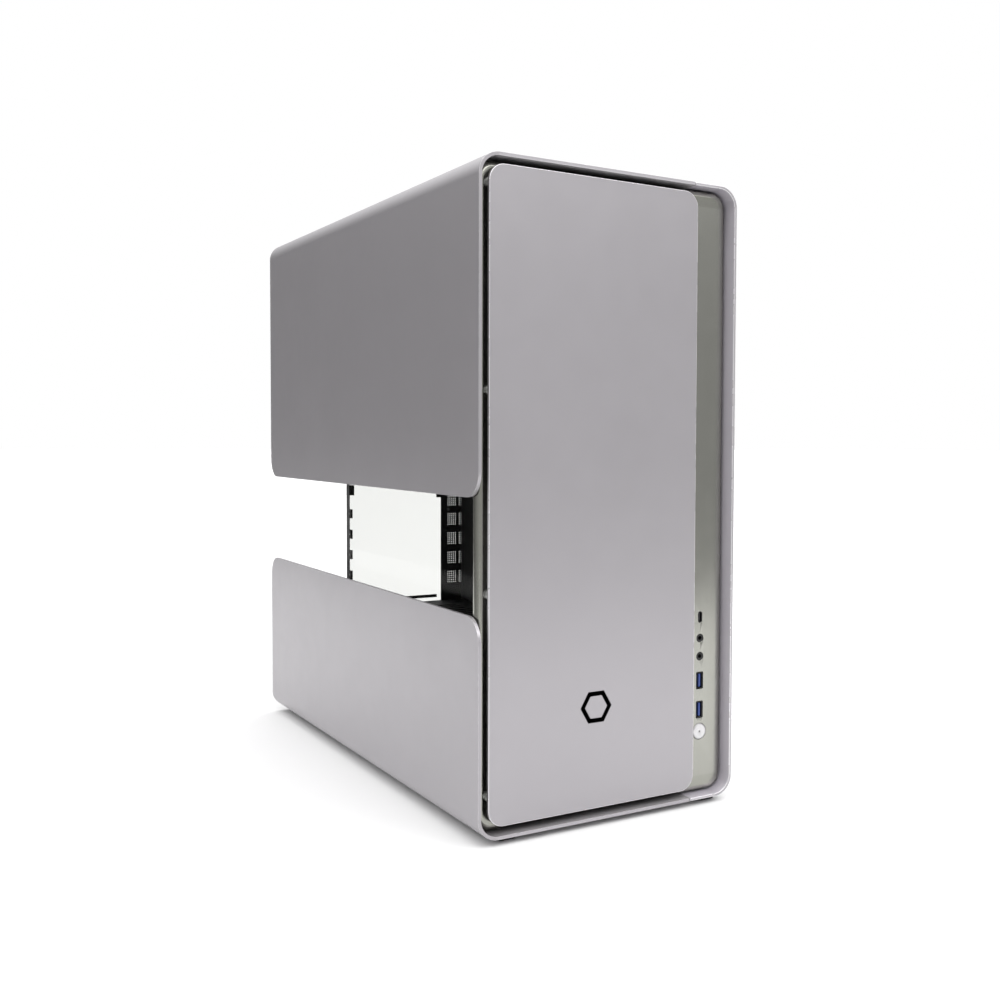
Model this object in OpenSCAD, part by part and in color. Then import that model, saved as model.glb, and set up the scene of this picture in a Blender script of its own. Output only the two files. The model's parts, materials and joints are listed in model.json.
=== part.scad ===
// Desktop computer tower: a folded aluminium sleeve around a black steel chassis.
// Sizes are in millimetres. +Z is up and the front faces -Y.
// The origin is on the ground, under the middle of the tower.

/* [Sleeve] */
// Overall width of the sleeve
body_w = 237; // [230:1:245]
// Overall depth of the sleeve
body_d = 526; // [515:1:540]
// Height of the sleeve without the feet
sleeve_h = 511; // [508:1:516]
// Outside radius of the long corners
corner_r = 17; // [14:1:20]
// Thickness of the folded sheet
sheet_t = 2.5; // [2:0.1:3]
// Distance of the seam from the right side
seam_from_right = 43; // [40:1:44]
// Width of the seam
seam_gap = 1; // [0.6:0.1:1.5]

/* [Side slot] */
// Height of the slot's lower edge
slot_low = 168; // [160:1:175]
// Height of the slot's upper edge
slot_high = 257; // [250:1:262]
// Radius of the panels' free corners
slot_corner_r = 20; // [12:1:25]

/* [Front plate] */
// Distance of the plate from the sleeve's left side
plate_left = 9.8; // [9:0.1:11]
// Width of the plate
plate_w = 189.3; // [186:0.1:190]
// Height of the plate's lower edge
plate_bottom = 8.6; // [7:0.1:10]
// Height of the plate
plate_h = 495.1; // [493:0.1:496]
// Thickness of the plate
plate_t = 3; // [2.5:0.1:3.4]
// Distance of the plate behind the sleeve's front edge
plate_setback = 3; // [2:0.1:3.5]
// Corner radius of the plate
plate_corner_r = 13; // [8:1:18]

/* [Bezel] */
// Distance of the bezel's face behind the sleeve's front edge
bezel_setback = 10.5; // [10:0.1:11]
// Radius of the bezel's soft edge
bezel_edge_r = 5; // [3:0.5:6]
// Gap between bezel and sleeve
bezel_gap = 1.2; // [0.8:0.1:2]

/* [Front sockets] */
// Distance of the column of sockets from the sleeve's left side
socket_x = 210.5; // [209:0.1:212]
// Height of the power button's centre
button_z = 54.5; // [52:0.5:56]
// Radius of the power button
button_r = 6.6; // [5:0.1:7]
// Travel of the power button
button_travel = 1.2; // [0.8:0.1:1.3]

/* [Feet] */
// Height of the feet
foot_h = 5; // [4:0.5:6]
// Width of a foot
foot_w = 17; // [14:1:20]
// Length of a foot
foot_l = 34; // [25:1:45]

/* [Chassis] */
// Distance of the chassis from the sleeve's left side
chassis_left = 27; // [27:0.5:28]
// Distance of the rear panel behind the sleeve's front edge
rear_y = 358; // [358:1:362]
// Distance of the board tray from the sleeve's left side
tray_x = 152; // [152:0.5:153]
// Thickness of the steel sheet
steel_t = 1.5; // [1.2:0.1:1.5]
// Spacing of the expansion slots
slot_pitch = 20.32; // [20.32]
// Side of the front fans
front_fan = 120; // [120]
// Side of the rear fan
rear_fan = 70; // [60, 70]

/* [Hidden] */
$fn = 64;
cut = 1;              // how far a cutter runs past the face it cuts
hull_fn = 32;

// Silver, black and the small colours
silver = [0.72, 0.71, 0.73];
bezel_grey = [0.66, 0.66, 0.63];
black_steel = [0.05, 0.05, 0.055];
black_plastic = [0.08, 0.08, 0.08];
rubber = [0.04, 0.04, 0.04];
bright_steel = [0.75, 0.76, 0.78];
pcb_black = [0.03, 0.05, 0.04];
socket_blue = [0.07, 0.16, 0.55];
cap_white = [0.86, 0.86, 0.86];

// Sleeve
seam_x = body_w - seam_from_right;
plate_right = plate_left + plate_w;
plate_top = plate_bottom + plate_h;
plate_back = plate_setback + plate_t;

// Bezel
bezel_inset = sheet_t + bezel_gap;
bezel_wall = 3;
bezel_rim = 6;
bezel_inner_y = bezel_setback + bezel_wall;
frame_y = bezel_setback + 6.5;
frame_back = frame_y + steel_t;
boss_r = 3.5;
boss_x = [31.5, 175];
boss_z = [25, 115, 320, 498];
vent_x = [44:12:140];
vent_z = [196, 316, 436];

// Plate standoffs, four down each side
standoff_r = 4;
standoff_inset = 4.7;
standoff_z0 = plate_bottom + 21.9;
standoff_pitch = 153.4;

// Feet
foot_x = [20.5, 210];
foot_y = 9.2;

// Emblem: a plain six-sided ring
emblem_x = 103.7;
emblem_z = 89.7;
emblem_r = 14.5;
emblem_hole_r = 10;
emblem_depth = 0.8;

// Front sockets, as heights above the sleeve's underside
usb_a_z = [73.1, 97.9];
jack_z = [118.5, 133.9];
usb_c_z = 151.7;
button_gap = 0.25;
jack_r = 3.3;
jack_bore_r = 1.8;
jack_bore_l = 14;
usb_a_h = 13.2;
usb_a_w = 5.8;
usb_c_h = 9;
usb_c_w = 3.2;
socket_front = bezel_setback + 0.4;
io_board_y = 26;
io_board_t = 1.6;
io_board_x = [199, 217.5];
io_board_z = [34, 180];
io_opening_z = [44, 170];

// Power button, from its face back to the switch
button_face = bezel_setback - 0.4;
button_flange_r = button_r + 1.2;
button_flange_y = bezel_inner_y + 0.3;
button_flange_t = 1.2;
button_stem_r = 1.5;
switch_y = button_flange_y + button_flange_t + 3.8;
spring_r = 3.2;
spring_wire_r = 0.3;
spring_turns = 4;

// Chassis box
chassis_right = 220;
chassis_low = 8;
chassis_high = 503;
rear_back = rear_y + steel_t;
shelf_top = 130;
shelf_low = shelf_top - steel_t;
roof_low = chassis_high - steel_t;
floor_top = chassis_low + steel_t;
flange = 12;

// Expansion opening
card_x = [31, 129.5];
card_z = [shelf_top, 253];
bar_z = [133.7, 136.7];
bar_right = 124.4;
nib_z = 238.4;
tab_z0 = 163.9;
window_w = 9.6;
window_h = 12.2;
window_x = [136.8, 149.7];
window_z0 = 148.2;
mesh_hole = 1.2;
mesh_columns = 5;
mesh_rows = 6;
mesh_pitch_x = (window_w - mesh_hole) / (mesh_columns - 1);
mesh_pitch_z = (window_h - mesh_hole) / (mesh_rows - 1);
card_screw_r = 1.75;
rivet_x = window_x[0] - 0.3;
rivet_z = window_z0 + 3.81 * slot_pitch;
rivet_r = 1.3;

// Rear fan, board and its rear ports
rear_fan_x = 66;
rear_fan_z = 345;
io_x = [103.5, 147.9];
io_z = [267.6, 426.3];
board_size = 170;
board_z = 262;
board_t = 1.6;
board_gap = 6.4;
board_front_x = tray_x - board_gap - board_t;
board_y = rear_y - 2 - board_size;
board_hole_in = 6.4;
cooler_y = 285;
cooler_z = 355;
cooler_size = 92;

// Fans
front_fan_x = 90;
front_fan_t = 25;
rear_fan_t = 15;
cpu_fan_t = 15;
cooler_x = board_front_x - 36 - cpu_fan_t;
fan_hole_r = 2.2;
front_fan_pitch = 105;
rear_fan_pitch = 60;
shaft_r = 1.5;
shaft_fit = 0.06;
blade_t = 1.8;
blade_pitch = 52;

// Power supply
psu_w = 150;
psu_h = 86;
psu_d = 140;
psu_x = 42;
psu_z = 14;
psu_wall = 1.2;
psu_fan = 120;
psu_y = rear_y - psu_d;
psu_mid_x = psu_x + psu_w / 2;
psu_fan_y = psu_y + psu_wall + 0.2 + psu_fan / 2;
psu_mid_z = psu_z + psu_h / 2;
psu_screw_x = 69;
psu_screw_z = 32;
inlet_x = psu_x + 30;
inlet_w = 27;
inlet_h = 20;
inlet_z = psu_mid_z + 12;
rocker_x = psu_x + 30;
rocker_z = psu_mid_z - 20;
rocker_w = 12;
rocker_r = 9;
rocker_tilt = 8;

// Side glass
glass_x = 22;
glass_t = 4;
glass_y = [24, 338];
glass_z = [130.6, 499.4];
channel_x = 20;
channel_fit = 0.35;

// Rails that the sleeve hangs on
slide_rail_x = [50, 172];
fixed_top_x = [205];
fixed_low_x = [40, 176, 205];
rail_w = 14;
rail_y = [34, 346];
rail_stem = 6;
rail_head = 12;
rail_head_t = 1.4;
track_w = 18;
track_t = 1.2;
rail_fit = 0.3;

// Places the sleeve's own corner at the origin of the modules below
module in_sleeve() {
  translate([-body_w / 2, -body_d / 2, foot_h]) children();
}

// Rounded rectangle between two corners
module panel(x0, y0, x1, y1, r) {
  translate([(x0 + x1) / 2, (y0 + y1) / 2]) {
    square([x1 - x0 - 2 * r, y1 - y0], center = true);
    square([x1 - x0, y1 - y0 - 2 * r], center = true);
    for (sx = [-1, 1], sy = [-1, 1])
      translate([sx * ((x1 - x0) / 2 - r), sy * ((y1 - y0) / 2 - r)]) circle(r = r);
  }
}

// Plain rectangle between two corners
module sheet(x0, y0, x1, y1) {
  translate([x0, y0]) square([x1 - x0, y1 - y0]);
}

// Box between two corners
module block(a, b) {
  translate(a) cube(b - a);
}

// Drawings in X and Z, made solid backwards along +Y
module along_y(y0, length) {
  translate([0, y0 + length, 0]) rotate([90, 0, 0]) linear_extrude(length) children();
}

// Drawings in Y and Z, made solid along +X
module along_x(x0, length) {
  translate([x0, 0, 0]) rotate([90, 0, 90]) linear_extrude(length) children();
}

// Drawings in X and Y, made solid upwards
module along_z(z0, length) {
  translate([0, 0, z0]) linear_extrude(length) children();
}

// Round bar along +Y, +X or -X
module rod_y(x, y, z, r, length) {
  translate([x, y, z]) rotate([-90, 0, 0]) cylinder(r = r, h = length);
}

module rod_x(x, y, z, r, length) {
  translate([x, y, z]) rotate([0, 90, 0]) cylinder(r = r, h = length);
}

// Four places at the corners of a rectangle
module four(w, h) {
  for (sx = [-1, 1], sy = [-1, 1]) translate([sx * w / 2, sy * h / 2]) children();
}

// Smooth path through control points
function spline_point(a, b, c, d, t) =
  0.5 * ((2 * b) + (c - a) * t + (2 * a - 5 * b + 4 * c - d) * t * t + (3 * b - a - 3 * c + d) * t * t * t);
function spline(p, steps) = [
  for (i = [0:len(p) - 2], k = [0:steps - 1])
    spline_point(p[max(i - 1, 0)], p[i], p[i + 1], p[min(i + 2, len(p) - 1)], k / steps),
  p[len(p) - 1]
];
function unit(v) = v / norm(v);

// Tube of round section along a path; side is any direction that the path never runs along
module tube(path, r, sides, side) {
  last = len(path) - 1;
  tangents = [for (i = [0:last]) unit(path[min(i + 1, last)] - path[max(i - 1, 0)])];
  rings = [
    for (i = [0:last]) let (u = unit(cross(tangents[i], side)), v = cross(tangents[i], u))
      for (k = [0:sides - 1]) path[i] + r * (cos(360 * k / sides) * u + sin(360 * k / sides) * v)
  ];
  walls = [
    for (i = [0:last - 1], k = [0:sides - 1]) let (n = (k + 1) % sides)
      [i * sides + k, (i + 1) * sides + k, (i + 1) * sides + n, i * sides + n]
  ];
  start_cap = [for (k = [0:sides - 1]) k];
  end_cap = [for (k = [0:sides - 1]) last * sides + sides - 1 - k];
  polyhedron(rings, concat(walls, [start_cap, end_cap]));
}

// Sleeve outline in front view, moved in from the outside by inset
module sleeve_outline(inset) {
  panel(inset, inset, body_w - inset, sleeve_h - inset, corner_r - inset);
}

// Full-depth piece of the sleeve's wall
module sleeve_piece(x0, z0, x1, z1) {
  along_y(0, body_d) intersection() {
    difference() {
      sleeve_outline(0);
      sleeve_outline(sheet_t);
    }
    sheet(x0, z0, x1, z1);
  }
}

// Cutter that rounds one free corner of a side panel; way_y and way_z point into the panel
module free_corner(y, z, way_y, way_z) {
  along_x(-cut, sheet_t + 2 * cut) translate([y, z]) scale([way_y, way_z]) difference() {
    sheet(-cut, -cut, slot_corner_r, slot_corner_r);
    translate([slot_corner_r, slot_corner_r]) circle(r = slot_corner_r);
  }
}

module shell_upper_left() {
  color(silver) in_sleeve() difference() {
    sleeve_piece(-cut, slot_high, seam_x - seam_gap / 2, sleeve_h + cut);
    free_corner(0, slot_high, 1, 1);
    free_corner(body_d, slot_high, -1, 1);
  }
}

// The lower left panel has an air grille under the power supply
module shell_lower_left() {
  color(silver) in_sleeve() difference() {
    sleeve_piece(-cut, -cut, seam_x - seam_gap / 2, slot_low);
    free_corner(0, slot_low, 1, -1);
    free_corner(body_d, slot_low, -1, -1);
    for (x = [66:12:162])
      along_z(-cut, sheet_t + 2 * cut) panel(x, psu_fan_y - 50, x + 5, psu_fan_y + 50, 2.4);
  }
}

module shell_right() {
  color(silver) in_sleeve() sleeve_piece(seam_x + seam_gap / 2, -cut, body_w + cut, sleeve_h + cut);
}

// Solid with the sleeve's section and a rounded front edge
module soft_slab() {
  hull() {
    for (a = [0:22.5:90]) let (y = bezel_setback + bezel_edge_r * (1 - sin(a)))
      along_y(y, frame_y - y) offset_outline(bezel_edge_r * (1 - cos(a)));
  }
}

module offset_outline(inset) {
  e = bezel_inset + inset;
  panel(e, e, body_w - e, sleeve_h - e, corner_r - bezel_inset - inset, $fn = hull_fn);
}

module front_bezel() {
  color(bezel_grey) in_sleeve() difference() {
    union() {
      difference() {
        soft_slab();
        along_y(bezel_inner_y, frame_y - bezel_inner_y + cut)
          panel(bezel_inset + bezel_rim, bezel_inset + bezel_rim, body_w - bezel_inset - bezel_rim,
                sleeve_h - bezel_inset - bezel_rim, 6);
      }
      for (x = boss_x, z = boss_z) rod_y(x, bezel_inner_y - cut, z, boss_r, frame_y - bezel_inner_y + cut);
    }
    along_y(bezel_setback - cut, bezel_wall + 2 * cut) {
      for (x = vent_x, z = vent_z) panel(x - 2.5, z - 50, x + 2.5, z + 50, 2.4);
      translate([socket_x, button_z]) circle(r = button_r + button_gap);
      for (z = jack_z) translate([socket_x, z]) circle(r = jack_r + 0.2);
      for (z = usb_a_z) translate([socket_x, z]) panel(-3.5, -7.2, 3.5, 7.2, 1);
      translate([socket_x, usb_c_z]) panel(-2, -4.8, 2, 4.8, 1.9);
    }
  }
}

module front_plate() {
  color(silver) in_sleeve() difference() {
    along_y(plate_setback, plate_t) panel(plate_left, plate_bottom, plate_right, plate_top, plate_corner_r);
    emblem_ring(plate_setback - cut, emblem_depth + cut);
  }
}

module emblem_ring(y0, depth) {
  along_y(y0, depth) translate([emblem_x, emblem_z]) difference() {
    circle(r = emblem_r, $fn = 6);
    circle(r = emblem_hole_r, $fn = 6);
  }
}

module front_emblem() {
  color(black_plastic) in_sleeve() emblem_ring(plate_setback, emblem_depth);
}

module plate_standoffs() {
  color(bright_steel) in_sleeve()
    for (x = [plate_left + standoff_inset, plate_right - standoff_inset], k = [0:3])
      rod_y(x, plate_back, standoff_z0 + k * standoff_pitch, standoff_r, bezel_setback - plate_back);
}

// Rubber pads: the left pair on the lower left panel, the right pair on the right panel
module feet() {
  color(rubber) in_sleeve() difference() {
    for (x = foot_x, y = [foot_y, body_d - foot_y - foot_l])
      along_z(-foot_h, foot_h + 2) panel(x, y, x + foot_w, y + foot_l, 4);
    along_y(-cut, body_d + 2 * cut) sleeve_outline(0);
  }
}

// Flat rails under the fixed panels
module fixed_rails() {
  color(black_steel) in_sleeve() {
    for (x = fixed_top_x)
      block([x - rail_w / 2, rail_y[0], chassis_high], [x + rail_w / 2, rail_y[1], sleeve_h - sheet_t]);
    for (x = fixed_low_x)
      block([x - rail_w / 2, rail_y[0], sheet_t], [x + rail_w / 2, rail_y[1], chassis_low]);
  }
}

// T-section rails on the roof: the upper left panel's tracks run on them
module slide_rails() {
  head_z = sleeve_h - sheet_t - track_t - rail_fit - rail_head_t;
  color(bright_steel) in_sleeve() for (x = slide_rail_x) {
    block([x - rail_stem / 2, rail_y[0], chassis_high], [x + rail_stem / 2, rail_y[1], head_z + 0.2]);
    block([x - rail_head / 2, rail_y[0], head_z], [x + rail_head / 2, rail_y[1], head_z + rail_head_t]);
  }
}

// C-section tracks on the upper left panel
module slide_tracks() {
  top = sleeve_h - sheet_t;
  low = top - 2 * track_t - 2 * rail_fit - rail_head_t;
  color(bright_steel) in_sleeve() for (x = slide_rail_x)
    along_y(rail_y[0], rail_y[1] - rail_y[0]) difference() {
      sheet(x - track_w / 2, low, x + track_w / 2, top);
      sheet(x - rail_head / 2 - rail_fit, low + track_t, x + rail_head / 2 + rail_fit, top - track_t);
      sheet(x - rail_stem / 2 - rail_fit, low - cut, x + rail_stem / 2 + rail_fit, low + track_t + cut);
    }
}

// Short posts that keep the side panels off the chassis
module side_spacers() {
  color(rubber) in_sleeve() {
    for (y = [60, 320], z = [40, 105]) rod_x(sheet_t, y, z, 6, chassis_left - sheet_t);
    for (y = [60, 320], z = [50, 460]) rod_x(chassis_right, y, z, 6, body_w - sheet_t - chassis_right);
    for (y = [60, 320]) rod_x(sheet_t + 2.2, y, 498, 3, channel_x - sheet_t - 2.2);
  }
}

module power_button() {
  back = button_flange_y + button_flange_t;
  color(cap_white) in_sleeve() difference() {
    union() {
      rod_y(socket_x, button_face, button_z, button_r, button_flange_y - button_face);
      rod_y(socket_x, button_flange_y, button_z, button_flange_r, button_flange_t);
      rod_y(socket_x, back, button_z, button_stem_r, switch_y - back - button_travel - 0.1);
    }
    rod_y(socket_x, button_face - cut, button_z, 0.7, 0.5 + cut);
  }
}

// Coil spring round the button's stem
module button_spring() {
  start = button_flange_y + button_flange_t + spring_wire_r + 0.05;
  length = switch_y - start - spring_wire_r - 0.05;
  steps = 14 * spring_turns;
  path = [
    for (i = [0:steps]) let (a = 360 * spring_turns * i / steps)
      [socket_x + spring_r * cos(a), start + length * i / steps, button_z + spring_r * sin(a)]
  ];
  color(bright_steel) in_sleeve() tube(path, spring_wire_r, 8, [0, 1, 0]);
}

module button_switch() {
  color(black_plastic) in_sleeve() {
    block([socket_x - 4.5, switch_y, button_z - 4.5], [socket_x + 4.5, io_board_y, button_z + 4.5]);
  }
}

// Small board behind the sockets, on four pillars from the front frame
module io_board() {
  x0 = io_board_x[0];
  x1 = io_board_x[1];
  color(pcb_black) in_sleeve() {
    along_y(io_board_y, io_board_t) panel(x0, io_board_z[0], x1, io_board_z[1], 2);
    for (x = [x0 + 4, x1 - 4], z = [io_board_z[0] + 4.5, io_board_z[1] - 4.5])
      rod_y(x, frame_back, z, 2.5, io_board_y - frame_back);
    block([x0 + 3, io_board_y + io_board_t, 60], [x0 + 15, io_board_y + io_board_t + 7, 84]);
  }
}

module usb_c_port() {
  color(bright_steel) in_sleeve() difference() {
    along_y(socket_front, io_board_y - socket_front) translate([socket_x, usb_c_z])
      panel(-usb_c_w / 2, -usb_c_h / 2, usb_c_w / 2, usb_c_h / 2, 1.5);
    along_y(socket_front - cut, 6 + cut) translate([socket_x, usb_c_z]) difference() {
      panel(-usb_c_w / 2 + 0.3, -usb_c_h / 2 + 0.3, usb_c_w / 2 - 0.3, usb_c_h / 2 - 0.3, 1.2);
      sheet(-0.35, -3.3, 0.35, 3.3);
    }
    block([socket_x - 0.5, socket_front - cut, usb_c_z - 3.5],
          [socket_x + 0.5, socket_front + 0.8, usb_c_z + 3.5]);
  }
}

module audio_jacks() {
  color(black_plastic) in_sleeve() for (z = jack_z) difference() {
    union() {
      rod_y(socket_x, socket_front, z, jack_r, bezel_inner_y + 0.3 - socket_front);
      block([socket_x - 3.6, bezel_inner_y + 0.3, z - 3.6], [socket_x + 3.6, io_board_y, z + 3.6]);
    }
    rod_y(socket_x, socket_front - cut, z, jack_bore_r, jack_bore_l + cut);
  }
}

module usb_a_shells() {
  color(bright_steel) in_sleeve() for (z = usb_a_z) difference() {
    along_y(socket_front, io_board_y - socket_front) translate([socket_x, z])
      panel(-usb_a_w / 2, -usb_a_h / 2, usb_a_w / 2, usb_a_h / 2, 0.6);
    along_y(socket_front - cut, 12 + cut) translate([socket_x, z])
      sheet(-usb_a_w / 2 + 0.35, -usb_a_h / 2 + 0.35, usb_a_w / 2 - 0.35, usb_a_h / 2 - 0.35);
  }
}

// Contact tongue and back wall inside each USB-A socket
module usb_a_tongues() {
  back = socket_front + 12;
  color(socket_blue) in_sleeve() for (z = usb_a_z) {
    block([socket_x - 2.3, back - 2, z - 6], [socket_x + 2.3, back, z + 6]);
    block([socket_x - 0.4, socket_front + 0.8, z - 5.5], [socket_x + 1.5, back - 1.5, z + 5.5]);
  }
}

// Steel wall behind the bezel: three fans on the left, the socket board on the right
module front_frame() {
  color(black_steel) in_sleeve() {
    along_y(frame_y, steel_t) difference() {
      sheet(chassis_left, chassis_low, chassis_right, chassis_high);
      for (z = vent_z) translate([front_fan_x, z]) {
        circle(r = front_fan / 2 - 3.5);
        four(front_fan_pitch, front_fan_pitch) circle(r = fan_hole_r);
      }
      sheet(socket_x - 10, io_opening_z[0], socket_x + 8, io_opening_z[1]);
      panel(44, 24, 136, 104, 6);
      panel(160, 210, 208, 300, 6);
      panel(160, 330, 208, 480, 6);
    }
    for (x = [chassis_left, chassis_right - steel_t])
      block([x, frame_back, floor_top], [x + steel_t, frame_back + flange, roof_low]);
  }
}

// Cut-outs of a pressed fan grille: rings of slots between four spokes
module ring_grille(r) {
  difference() {
    circle(r = r);
    for (q = [6:7:r - 5]) difference() {
      circle(r = q + 0.9);
      circle(r = q - 0.9);
    }
    for (a = [45, 135]) rotate(a) square([2 * r + 2, 3], center = true);
  }
}

// Steel wall at the back with the expansion opening and two columns of finely pierced air windows
module rear_panel() {
  color(black_steel) in_sleeve() along_y(rear_y, steel_t) difference() {
    sheet(chassis_left, chassis_low, chassis_right, chassis_high);
    difference() {
      sheet(card_x[0], card_z[0], card_x[1], card_z[1]);
      sheet(card_x[0] - cut, bar_z[0], bar_right, bar_z[1]);
      sheet(bar_right, nib_z, card_x[1] + cut, card_z[1] + cut);
    }
    for (x = window_x, k = [0:4], i = [0:mesh_columns - 1], j = [0:mesh_rows - 1])
      translate([x + i * mesh_pitch_x, window_z0 + k * slot_pitch + j * mesh_pitch_z])
        sheet(0, 0, mesh_hole, mesh_hole);
    translate([rivet_x, rivet_z]) circle(r = rivet_r - 0.3);
    sheet(io_x[0], io_z[0], io_x[1], io_z[1]);
    translate([rear_fan_x, rear_fan_z]) {
      ring_grille(rear_fan / 2 - 2.5);
      four(rear_fan_pitch, rear_fan_pitch) circle(r = fan_hole_r);
    }
    translate([psu_mid_x, psu_mid_z]) {
      panel(-63, -38, 63, 38, 4);
      four(2 * psu_screw_x, 2 * psu_screw_z) circle(r = fan_hole_r);
    }
    for (z = [300:14:440]) panel(166, z, 210, z + 6, 2.9);
  }
}

// Flange with one tab for each expansion card's screw
module card_retainer() {
  y0 = rear_y - 9.5;
  color(black_steel) in_sleeve() {
    difference() {
      union() {
        block([chassis_left, y0, shelf_top], [chassis_left + steel_t, rear_y, 243]);
        for (k = [0:3])
          block([chassis_left, y0 - 5.3, tab_z0 + k * slot_pitch - 4.5],
                [chassis_left + steel_t, y0 + cut, tab_z0 + k * slot_pitch + 4.5]);
      }
      for (k = [0:3])
        rod_x(chassis_left - cut, y0, tab_z0 + k * slot_pitch, card_screw_r, steel_t + 2 * cut);
    }
    block([chassis_left - 0.6, rear_y - 11.7, 243], [chassis_left + 4.4, rear_y, 253]);
  }
}

// Wall that carries the board, with two cable openings
module board_tray() {
  color(black_steel) in_sleeve() along_x(tray_x, steel_t) difference() {
    sheet(frame_back, shelf_top, rear_y, roof_low);
    panel(142, 280, 168, 345, 8);
    panel(142, 375, 168, 440, 8);
    panel(cooler_y - 45, cooler_z - 45, cooler_y + 35, cooler_z + 35, 10);
    panel(60, 160, 120, 220, 8);
    panel(60, 400, 120, 460, 8);
  }
}

module shelf() {
  color(black_steel) in_sleeve() along_z(shelf_low, steel_t) difference() {
    sheet(chassis_left, frame_back, chassis_right - steel_t, rear_y);
    sheet(chassis_left - cut, frame_back - cut, chassis_left + steel_t, frame_back + flange);
    sheet(io_board_x[0] - 3, frame_back - cut, chassis_right, io_board_y + 14);
    panel(172, 58, 206, 100, 8);
    panel(165, 150, 205, 190, 8);
    for (y = [200:12:320]) panel(60, y, 130, y + 5, 2.4);
  }
}

// Floor with raised pads under the power supply
module floor_panel() {
  color(black_steel) in_sleeve() {
    along_z(chassis_low, steel_t) difference() {
      sheet(chassis_left, frame_back, chassis_right, rear_y);
      translate([psu_mid_x, psu_fan_y]) circle(r = psu_fan / 2);
      for (x = [60:14:180]) panel(x, 60, x + 6, 180, 2.9);
    }
    for (x = [psu_x + 3, psu_x + psu_w - 13], y = [psu_y + 4, rear_y - 16])
      block([x, y, floor_top - steel_t / 2], [x + 10, y + 12, psu_z]);
  }
}

module roof_panel() {
  color(black_steel) in_sleeve() {
    along_z(roof_low, steel_t) difference() {
      sheet(chassis_left, frame_back, chassis_right, rear_y);
      for (y = [60:14:320], x = [66, 112]) panel(x, y, x + 40, y + 6, 2.9);
    }
    block([chassis_left, frame_back + flange, roof_low - 11], [chassis_left + steel_t, rear_y, roof_low]);
  }
}

module right_cover() {
  color(black_steel) in_sleeve() along_x(chassis_right - steel_t, steel_t) difference() {
    sheet(frame_back + flange, floor_top, rear_y, roof_low);
    for (z = [150:14:290]) panel(70, z, 180, z + 6, 2.9);
  }
}

module lower_skirt() {
  color(black_steel) in_sleeve() along_x(chassis_left, steel_t) difference() {
    sheet(frame_back + flange, floor_top, rear_y, shelf_low);
    for (y = [80:12:190]) panel(y, 40, y + 5, 110, 2.4);
  }
}

module side_glass() {
  color([0.8, 0.85, 0.85, 0.3]) in_sleeve()
    along_x(glass_x, glass_t) panel(glass_y[0], glass_z[0], glass_y[1], glass_z[1], 3);
}

// Channels above and below the glass, open at the back so that it slides out
module glass_channels() {
  slot_x = glass_x - channel_fit;
  slot_w = glass_t + 2 * channel_fit;
  color(black_plastic) in_sleeve() along_y(frame_back, rear_y - frame_back) {
    difference() {
      sheet(channel_x, 124, chassis_left, 136);
      sheet(slot_x, glass_z[0] - channel_fit, slot_x + slot_w, 136 + cut);
    }
    difference() {
      sheet(channel_x, 494, chassis_left, chassis_high);
      sheet(slot_x, 494 - cut, slot_x + slot_w, glass_z[1] + channel_fit);
    }
  }
}

// Mesh screen on its frame, behind the bezel's vents
module front_filter() {
  color(black_plastic) in_sleeve() {
    along_y(bezel_inner_y + 0.2, frame_y - bezel_inner_y - 0.4) difference() {
      panel(36, 132, 150, 500, 4);
      for (z = vent_z) panel(40, z - 57, 146, z + 57, 3);
    }
    along_y(frame_y - 1, 0.5) for (z = vent_z) sheet(39, z - 58, 147, z + 58);
  }
}

// Mesh tray under the power supply, with a lip at the back to pull it by
module bottom_filter() {
  z0 = chassis_low - 2.9;
  color(black_plastic) in_sleeve() {
    along_z(z0, 2.5) difference() {
      sheet(56, psu_y, 162, rear_y - 1);
      sheet(61, psu_y + 5, 157, rear_y - 6);
    }
    along_z(z0 + 1, 0.5) sheet(60, psu_y + 4, 158, rear_y - 5);
    block([94, rear_y - 1, z0], [124, rear_y + 10, z0 + 2.5]);
  }
}

// Edge runners that hold the bottom filter under the floor
module filter_runners() {
  color(black_steel) in_sleeve() for (side = [0, 1]) {
    x = side == 0 ? 55.6 : 162.4;
    out = side == 0 ? x - 4 : x + 4;
    in = side == 0 ? x + 3 : x - 3;
    block([min(x, out), psu_y, sheet_t], [max(x, out), rear_y, chassis_low]);
    block([min(out, in), psu_y, sheet_t], [max(out, in), rear_y, sheet_t + 2.2]);
  }
}

// Fan frame on +Z: a square ring, a hub plate at the far end and four arms
module fan_frame(size, pitch, depth) {
  bore_r = size / 2 - 2.5;
  hub_r = size * 0.16;
  difference() {
    union() {
      difference() {
        linear_extrude(depth) panel(-size / 2, -size / 2, size / 2, size / 2, 5);
        translate([0, 0, -cut]) cylinder(r = bore_r, h = depth + 2 * cut);
      }
      translate([0, 0, depth - 3]) cylinder(r = hub_r, h = 3);
      for (a = [45:90:315]) rotate(a) block([hub_r - 1, -1.5, depth - 3], [bore_r + 0.5, 1.5, depth - 0.5]);
    }
    translate([0, 0, -cut]) four(pitch, pitch) cylinder(r = fan_hole_r, h = depth + 2 * cut);
    translate([0, 0, -cut]) cylinder(r = shaft_r + shaft_fit, h = depth + 2 * cut);
  }
}

// Rotor on +Z: hub, pitched blades cut to the tip radius, and the shaft that runs in the hub plate
module fan_rotor(size, depth, blades) {
  hub_r = size * 0.16;
  tip_r = size / 2 - 4;
  height = depth - 4.6;
  translate([0, 0, 1]) {
    cylinder(r = hub_r, h = height);
    cylinder(r = shaft_r, h = height + 3);
    intersection() {
      cylinder(r = tip_r, h = height);
      for (i = [0:blades - 1])
        rotate(i * 360 / blades) translate([0, 0, height / 2]) rotate([blade_pitch, 0, 0])
          block([hub_r - 1, -blade_t / 2, -height * 2], [tip_r + 1, blade_t / 2, height * 2]);
    }
  }
}

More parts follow.
